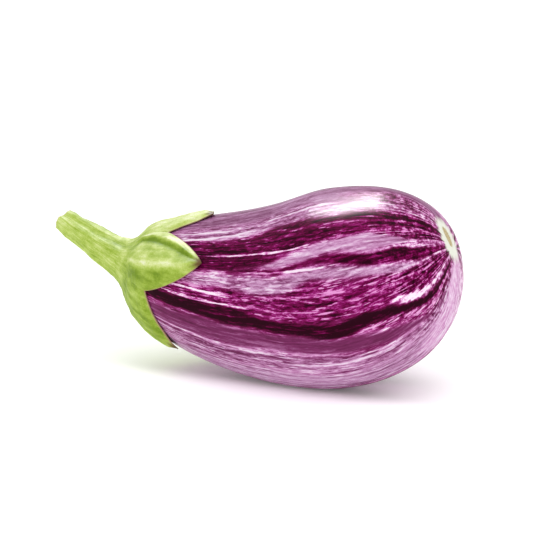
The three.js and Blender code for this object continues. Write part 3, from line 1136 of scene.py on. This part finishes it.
# %% Floor
deselect_all()
bpy.ops.mesh.primitive_plane_add(size=20, location=(0, 0, 0))
floor = bpy.context.active_object
floor.name = "studio_floor"
white = Finish("white_floor")
white.shader.inputs["Base Color"].default_value = (0.95, 0.95, 0.95, 1)
white.shader.inputs["Emission Color"].default_value = (1, 1, 1, 1)
on_floor = white.node("ShaderNodeTexCoord").outputs["Object"]
in_front = white.math("MULTIPLY", white.split(on_floor)[1], -1)
UNDER_GLOW, FRONT_GLOW = 0.07, 0.34
glow = white.step(in_front, 6 * MM, 26 * MM)
glow = white.math("MULTIPLY_ADD", glow, FRONT_GLOW - UNDER_GLOW, UNDER_GLOW)
white.plug(white.shader.inputs["Emission Strength"], glow)
white.shader.inputs["Roughness"].default_value = 0.9
white.shader.inputs["Specular IOR Level"].default_value = 0.0
floor.data.materials.append(white.material)
print(floor.name, "is", round(floor.dimensions.x), "m wide")

# %% [markdown]
# ### The camera
#
# It stands at a little more than arm's length, turned to the right and looking slightly
# down, as one looks at something on a table. From close by, the near end of the fruit
# would look swollen. The lens is worked out from how much it has to show.

# %% Camera
TURN, RISE = math.radians(24.12), math.radians(16.11)
DISTANCE = 0.9
back = Vector((math.sin(TURN) * math.cos(RISE), -math.cos(TURN) * math.cos(RISE), math.sin(RISE)))
right = Vector((math.cos(TURN), math.sin(TURN), 0))
up = back.cross(right)
VIEW_WIDTH = 243.75 * MM  # how much the square frame shows, at the place the part stands
aim = (-16.47 * right + 50.09 * up) * MM
deselect_all()
bpy.ops.object.camera_add(location=back * DISTANCE)
camera = bpy.context.active_object
camera.rotation_euler = (aim - back * DISTANCE).to_track_quat("-Z", "Y").to_euler()
SENSOR = 36  # mm
camera.data.sensor_width = SENSOR
camera.data.lens = SENSOR * DISTANCE / VIEW_WIDTH
bpy.context.scene.camera = camera
print("lens", round(camera.data.lens, 1), "mm")

# %% [markdown]
# ### The lights
#
# White walls on all sides give most of the light, so the world is simply white. A wide
# box, high up on the right, adds a little more. The one small highlight on the
# shoulder of the fruit comes from a third light that shows only in reflections, because
# otherwise it would throw a hard shadow as well.

# %% A rectangle of light
LIT_PLACE = Vector((0, 0, 50 * MM))  # about the middle of the fruit


def softbox(name, heading, height, distance, size, radiance):
    """A rectangle of light. heading is degrees around +Z from -Y, height is degrees up."""
    turn_by, lift_by = math.radians(heading), math.radians(height)
    towards = Vector((
        math.sin(turn_by) * math.cos(lift_by),
        -math.cos(turn_by) * math.cos(lift_by),
        math.sin(lift_by),
    ))
    place = LIT_PLACE + distance * towards
    deselect_all()
    bpy.ops.object.light_add(type="AREA", location=place)
    light = bpy.context.active_object
    light.name = name
    light.data.shape = "RECTANGLE"
    light.data.size, light.data.size_y = size
    light.data.energy = radiance * math.pi * size[0] * size[1]
    light.rotation_euler = (-towards).to_track_quat("-Z", "Y").to_euler()
    return light


# %% The small box for the highlight, and the wide one
highlight = softbox("highlight_box", -142, 58, 1.0, (0.46, 0.30), 115)
highlight.visible_diffuse = False
wide = softbox("wide_box", 70, 62, 1.3, (1.3, 1.1), 1.2)
print(highlight.name, round(highlight.data.energy), "W,", wide.name, round(wide.data.energy), "W")

# %% The white room, and the background that the camera sees
ROOM_LIGHT = 1.15
world = bpy.data.worlds.new("studio")
bpy.context.scene.world = world
world.use_nodes = True
sky = world.node_tree
room = sky.nodes["Background"]
room.inputs["Color"].default_value = (1, 1, 1, 1)
room.inputs["Strength"].default_value = ROOM_LIGHT
backdrop = sky.nodes.new("ShaderNodeBackground")
backdrop.inputs["Strength"].default_value = 1.0
backdrop.inputs["Color"].default_value = (1, 1, 1, 1)
seen = sky.nodes.new("ShaderNodeLightPath")
blend = sky.nodes.new("ShaderNodeMixShader")
sky.links.new(seen.outputs["Is Camera Ray"], blend.inputs[0])
sky.links.new(room.outputs[0], blend.inputs[1])
sky.links.new(backdrop.outputs[0], blend.inputs[2])
sky.links.new(blend.outputs[0], sky.nodes["World Output"].inputs["Surface"])
bpy.context.scene.view_settings.view_transform = "Standard"
print("the room shines at", ROOM_LIGHT, "and its background shows as plain white")

# %% [markdown]
# ## Handing the pieces over
#
# Nothing on an eggplant moves by itself, so all three pieces ride on the root body. Each
# one takes the place of one solid of the imported model, and has a material of its own.

# %% Hand over the pieces
for piece, node, slot in [(fruit, "fruit", "skin"), (calyx, "calyx", "calyx"), (stem, "stem", "stem")]:
    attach(piece, "root")
    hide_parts(node)
